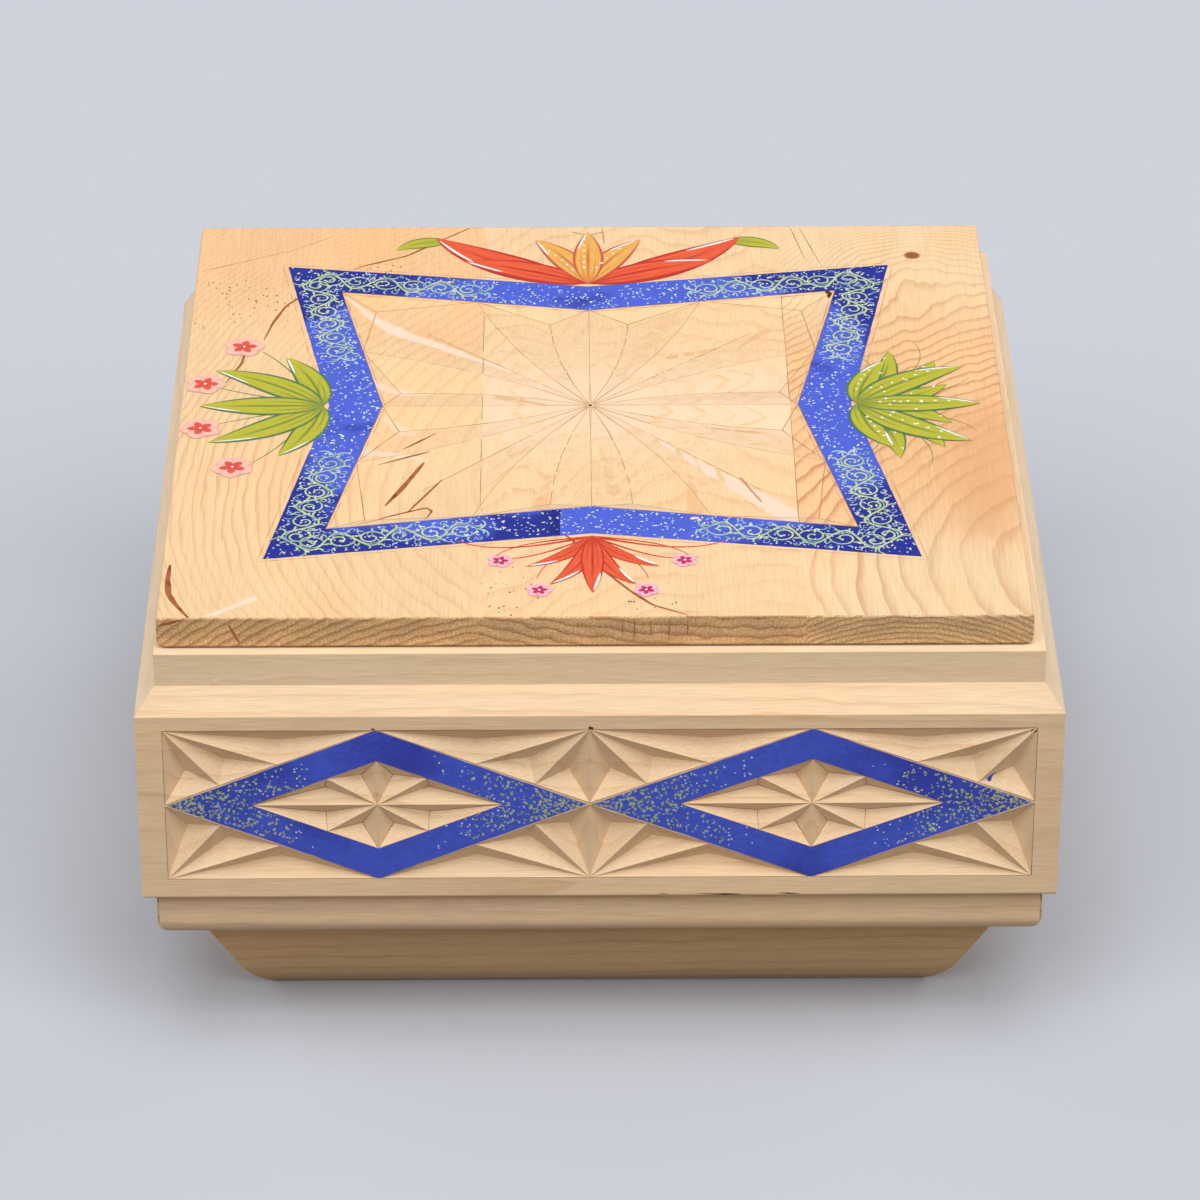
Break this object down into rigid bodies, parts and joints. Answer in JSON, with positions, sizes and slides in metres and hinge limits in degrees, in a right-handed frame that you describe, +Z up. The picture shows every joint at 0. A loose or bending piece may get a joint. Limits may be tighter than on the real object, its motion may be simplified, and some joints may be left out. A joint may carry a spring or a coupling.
{
  "type": "wooden jewelry box",
  "caption": "Square softwood jewelry box with a chip carved frieze, a star carved lid on brass butt hinges and a moulded plinth.",
  "frame": {"origin": "on the table, below the middle of the whole box", "axes": "+X to the right, +Y to the hinged back, +Z up; the carved front faces -Y"},
  "size_m": [0.234, 0.2322, 0.1242],
  "materials": {
    "case_wood": "bare planed and carved softwood",
    "lid_wood": "bare figured softwood, warmer than the case",
    "hinge_brass": "plain polished brass, a little dulled",
    "blue_paint": "thin hand-laid blue paint on the flat bands"
  },
  "bodies": {
    "box": {"bottom_board": "case_wood", "plinth_front": "case_wood", "plinth_back": "case_wood", "plinth_left": "case_wood", "plinth_right": "case_wood", "wall_front": "case_wood", "wall_left": "case_wood", "wall_right": "case_wood", "wall_back": "case_wood", "collar_front": "case_wood", "collar_left": "case_wood", "collar_right": "case_wood", "collar_back": "case_wood", "hinge_left_body_leaf": "hinge_brass", "hinge_left_pin": "hinge_brass", "hinge_right_body_leaf": "hinge_brass", "hinge_right_pin": "hinge_brass", "body_hinge_screws": "hinge_brass"},
    "lid": {"lid_board_left": "lid_wood", "lid_board_middle": "lid_wood", "lid_board_right": "lid_wood", "hinge_left_lid_leaf": "hinge_brass", "hinge_right_lid_leaf": "hinge_brass", "lid_hinge_screws": "hinge_brass"}
  },
  "joints": [
    {"name": "lid_hinge", "type": "hinge", "parent": "box", "child": "lid", "pos_m": [0, 0.11415, 0.1157], "axis": [-1, 0, 0], "range_deg": [0, 205]}
  ]
}
